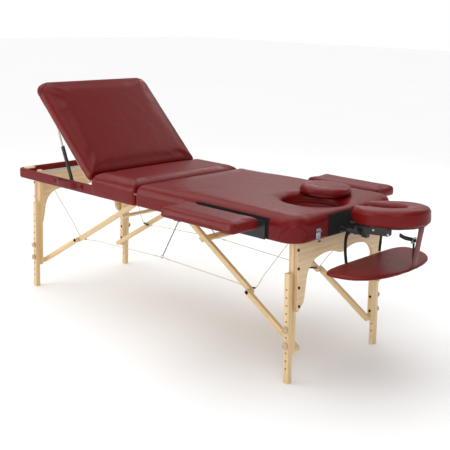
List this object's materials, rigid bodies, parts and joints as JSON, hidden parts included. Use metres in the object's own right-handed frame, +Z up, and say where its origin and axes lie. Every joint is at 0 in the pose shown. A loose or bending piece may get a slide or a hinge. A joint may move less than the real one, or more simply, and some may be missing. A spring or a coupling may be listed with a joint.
{
  "type": "portable massage table",
  "caption": "Folding padded table with hinged halves, adjustable wooden legs, a lifting backrest, side armrests, a face cradle with a hung arm shelf and a face-hole plug.",
  "frame": {"origin": "on the floor, under the middle of the whole object as it stands, cradle included", "axes": "+X from the backrest end to the head end, +Z up, -Y the side with the carry handle"},
  "size_m": [2.2056, 1.124, 1.1074],
  "materials": {
    "vinyl": "burgundy upholstery vinyl, satin",
    "beech": "clear satin varnish",
    "plywood": "clear satin varnish, ply edges",
    "black_plastic": "matt black",
    "black_steel": "black powder coat",
    "steel": "zinc plated",
    "coated_wire": "clear-coated wire cable",
    "rope": "braided cord",
    "webbing": "black woven webbing"
  },
  "bodies": {
    "left_half": {"left_frame": "vinyl", "left_deck": "plywood", "left_cushion": "vinyl", "corner_block_near": "plywood", "corner_block_far": "plywood", "carry_handle": "vinyl", "left_leg_rod": "steel", "left_cable_near": "coated_wire", "left_cable_far": "coated_wire", "centre_rope": "rope"},
    "fold_link": {"hinge_link": "steel"},
    "right_half": {"right_frame": "vinyl", "right_deck": "plywood", "right_cushion": "vinyl", "right_leg_rod": "steel", "right_cable_near": "coated_wire", "right_cable_far": "coated_wire"},
    "left_legs": {"left_upper_leg_near": "beech", "left_upper_leg_far": "beech", "left_end_panel": "plywood"},
    "left_upper_braces": {"left_upper_brace": "beech"},
    "left_lower_brace_near": {"left_lower_brace_near": "beech"},
    "left_lower_brace_far": {"left_lower_brace_far": "beech"},
    "left_lower_leg_near": {"left_lower_leg_near": "beech"},
    "left_knob_near_1": {"left_knob_near_1": "plywood"},
    "left_knob_near_2": {"left_knob_near_2": "plywood"},
    "left_lower_leg_far": {"left_lower_leg_far": "beech"},
    "left_knob_far_1": {"left_knob_far_1": "plywood"},
    "left_knob_far_2": {"left_knob_far_2": "plywood"},
    "right_legs": {"right_upper_leg_near": "beech", "right_upper_leg_far": "beech", "right_end_panel": "plywood"},
    "right_upper_braces": {"right_upper_brace": "beech"},
    "right_lower_brace_near": {"right_lower_brace_near": "beech"},
    "right_lower_brace_far": {"right_lower_brace_far": "beech"},
    "right_lower_leg_near": {"right_lower_leg_near": "beech"},
    "right_knob_near_1": {"right_knob_near_1": "plywood"},
    "right_knob_near_2": {"right_knob_near_2": "plywood"},
    "right_lower_leg_far": {"right_lower_leg_far": "beech"},
    "right_knob_far_1": {"right_knob_far_1": "plywood"},
    "right_knob_far_2": {"right_knob_far_2": "plywood"},
    "backrest": {"backrest_board": "plywood", "backrest_cushion": "vinyl"},
    "strut_channel_near": {"strut_channel_near": "black_steel"},
    "strut_bar_near": {"strut_bar_near": "steel"},
    "strut_channel_far": {"strut_channel_far": "black_steel"},
    "strut_bar_far": {"strut_bar_far": "steel"},
    "armrest_near": {"armrest_pad_near": "vinyl", "armrest_bracket_near": "black_steel"},
    "armrest_far": {"armrest_pad_far": "vinyl", "armrest_bracket_far": "black_steel"},
    "face_plug": {"face_plug": "vinyl"},
    "end_latch": {"end_latch": "steel"},
    "cradle": {"cradle_base": "black_steel", "arm_shelf": "vinyl", "shelf_strap_near": "webbing", "shelf_strap_far": "vinyl"},
    "cradle_head": {"cradle_platform": "black_plastic", "cradle_pad": "vinyl"},
    "cradle_cam": {"cradle_cam": "black_plastic"}
  },
  "joints": [
    {"name": "fold_a", "type": "hinge", "parent": "left_half", "child": "fold_link", "pos_m": [-0.185, 0, 0.583], "axis": [0, 1, 0], "range_deg": [0, 90], "deforming": ["left_cable_near", "left_cable_far", "right_cable_near", "right_cable_far", "centre_rope"]},
    {"name": "fold_b", "type": "hinge", "parent": "fold_link", "child": "right_half", "pos_m": [-0.173, 0, 0.583], "axis": [0, 1, 0], "range_deg": [0, 90]},
    {"name": "left_leg_fold", "type": "hinge", "parent": "left_half", "child": "left_legs", "pos_m": [-1.003, 0, 0.6175], "axis": [0, -1, 0], "range_deg": [0, 92]},
    {"name": "left_upper_brace_fold", "type": "hinge", "parent": "left_half", "child": "left_upper_braces", "pos_m": [-0.214, 0, 0.6175], "axis": [0, 1, 0], "range_deg": [0, 31.9]},
    {"name": "left_lower_brace_near_pivot", "type": "hinge", "parent": "left_legs", "child": "left_lower_brace_near", "pos_m": [-1.01946, 0, 0.13398], "axis": [0, -1, 0], "range_deg": [0, 56.8]},
    {"name": "left_lower_brace_far_pivot", "type": "hinge", "parent": "left_legs", "child": "left_lower_brace_far", "pos_m": [-1.01946, 0, 0.13398], "axis": [0, -1, 0], "range_deg": [0, 56.8]},
    {"name": "left_leg_near_length", "type": "slide", "parent": "left_legs", "child": "left_lower_leg_near", "axis": [-0.034, 0, -0.9994], "range_m": [-0.0999, 0.1665]},
    {"name": "left_knob_near_1_turn", "type": "hinge", "parent": "left_legs", "child": "left_knob_near_1", "pos_m": [-1.01621, 0, 0.2295], "axis": [0, 1, 0], "continuous": true},
    {"name": "left_knob_near_2_turn", "type": "hinge", "parent": "left_legs", "child": "left_knob_near_2", "pos_m": [-1.01848, 0, 0.1629], "axis": [0, 1, 0], "continuous": true},
    {"name": "left_leg_far_length", "type": "slide", "parent": "left_legs", "child": "left_lower_leg_far", "axis": [-0.034, 0, -0.9994], "range_m": [-0.0999, 0.1665]},
    {"name": "left_knob_far_1_turn", "type": "hinge", "parent": "left_legs", "child": "left_knob_far_1", "pos_m": [-1.01621, 0, 0.2295], "axis": [0, 1, 0], "continuous": true},
    {"name": "left_knob_far_2_turn", "type": "hinge", "parent": "left_legs", "child": "left_knob_far_2", "pos_m": [-1.01848, 0, 0.1629], "axis": [0, 1, 0], "continuous": true},
    {"name": "right_leg_fold", "type": "hinge", "parent": "right_half", "child": "right_legs", "pos_m": [0.684, 0, 0.6175], "axis": [0, 1, 0], "range_deg": [0, 92]},
    {"name": "right_upper_brace_fold", "type": "hinge", "parent": "right_half", "child": "right_upper_braces", "pos_m": [-0.054, 0, 0.6175], "axis": [0, -1, 0], "range_deg": [0, 33.6]},
    {"name": "right_lower_brace_near_pivot", "type": "hinge", "parent": "right_legs", "child": "right_lower_brace_near", "pos_m": [0.70046, 0, 0.13398], "axis": [0, 1, 0], "range_deg": [0, 55.2]},
    {"name": "right_lower_brace_far_pivot", "type": "hinge", "parent": "right_legs", "child": "right_lower_brace_far", "pos_m": [0.70046, 0, 0.13398], "axis": [0, 1, 0], "range_deg": [0, 55.2]},
    {"name": "right_leg_near_length", "type": "slide", "parent": "right_legs", "child": "right_lower_leg_near", "axis": [0.034, 0, -0.9994], "range_m": [-0.0999, 0.1665]},
    {"name": "right_knob_near_1_turn", "type": "hinge", "parent": "right_legs", "child": "right_knob_near_1", "pos_m": [0.69721, 0, 0.2295], "axis": [0, 1, 0], "continuous": true},
    {"name": "right_knob_near_2_turn", "type": "hinge", "parent": "right_legs", "child": "right_knob_near_2", "pos_m": [0.69948, 0, 0.1629], "axis": [0, 1, 0], "continuous": true},
    {"name": "right_leg_far_length", "type": "slide", "parent": "right_legs", "child": "right_lower_leg_far", "axis": [0.034, 0, -0.9994], "range_m": [-0.0999, 0.1665]},
    {"name": "right_knob_far_1_turn", "type": "hinge", "parent": "right_legs", "child": "right_knob_far_1", "pos_m": [0.69721, 0, 0.2295], "axis": [0, 1, 0], "continuous": true},
    {"name": "right_knob_far_2_turn", "type": "hinge", "parent": "right_legs", "child": "right_knob_far_2", "pos_m": [0.69948, 0, 0.1629], "axis": [0, 1, 0], "continuous": true},
    {"name": "backrest_tilt", "type": "hinge", "parent": "left_half", "child": "backrest", "pos_m": [-0.499, 0, 0.662], "axis": [0, 1, 0], "range_deg": [-44.2, 4]},
    {"name": "strut_near_turn", "type": "hinge", "parent": "left_half", "child": "strut_channel_near", "pos_m": [-0.666, -0.33, 0.612], "axis": [0, 1, 0], "range_deg": [-62.8, 6]},
    {"name": "strut_near_reach", "type": "slide", "parent": "strut_channel_near", "child": "strut_bar_near", "axis": [-0.4, 0, 0.9165], "range_m": [-0.1046, 0.01]},
    {"name": "strut_far_turn", "type": "hinge", "parent": "left_half", "child": "strut_channel_far", "pos_m": [-0.666, 0.33, 0.612], "axis": [0, 1, 0], "range_deg": [-62.8, 6]},
    {"name": "strut_far_reach", "type": "slide", "parent": "strut_channel_far", "child": "strut_bar_far", "axis": [-0.4, 0, 0.9165], "range_m": [-0.1046, 0.01]},
    {"name": "armrest_near_pull", "type": "slide", "parent": "right_half", "child": "armrest_near", "axis": [0, -1, 0], "range_m": [0, 0.1]},
    {"name": "armrest_far_pull", "type": "slide", "parent": "right_half", "child": "armrest_far", "axis": [0, 1, 0], "range_m": [0, 0.1]},
    {"name": "face_plug_lift", "type": "slide", "parent": "right_half", "child": "face_plug", "axis": [0, 0, 1], "range_m": [0, 0.06]},
    {"name": "end_latch_swing", "type": "hinge", "parent": "right_half", "child": "end_latch", "pos_m": [0.755, -0.214, 0.628], "axis": [0, -1, 0], "range_deg": [0, 90]},
    {"name": "cradle_pull", "type": "slide", "parent": "right_half", "child": "cradle", "axis": [1, 0, 0], "range_m": [0, 0.12]},
    {"name": "cradle_tilt", "type": "hinge", "parent": "cradle", "child": "cradle_head", "pos_m": [0.871, 0, 0.642], "axis": [0, -1, 0], "range_deg": [-20, 12], "deforming": ["shelf_strap_far"]},
    {"name": "cradle_cam_turn", "type": "hinge", "parent": "cradle_head", "child": "cradle_cam", "pos_m": [0.87131, 0, 0.63801], "axis": [0, -1, 0], "range_deg": [0, 80]}
  ],
  "couplings": [
    {"joint": "left_leg_fold", "follows": "fold_a", "ratio": 1.0217},
    {"joint": "left_upper_brace_fold", "follows": "fold_a", "ratio": 0.35363},
    {"joint": "left_lower_brace_near_pivot", "follows": "fold_a", "ratio": 0.62833},
    {"joint": "left_lower_brace_far_pivot", "follows": "fold_a", "ratio": 0.62833},
    {"joint": "right_leg_fold", "follows": "fold_a", "ratio": 1.0217},
    {"joint": "right_upper_brace_fold", "follows": "fold_a", "ratio": 0.37283},
    {"joint": "right_lower_brace_near_pivot", "follows": "fold_a", "ratio": 0.61},
    {"joint": "right_lower_brace_far_pivot", "follows": "fold_a", "ratio": 0.61},
    {"joint": "strut_near_turn", "follows": "backrest_tilt", "ratio": 1.416},
    {"joint": "strut_near_reach", "follows": "backrest_tilt", "m_per_rad": 0.1353},
    {"joint": "strut_far_turn", "follows": "backrest_tilt", "ratio": 1.416},
    {"joint": "strut_far_reach", "follows": "backrest_tilt", "m_per_rad": 0.1353}
  ]
}
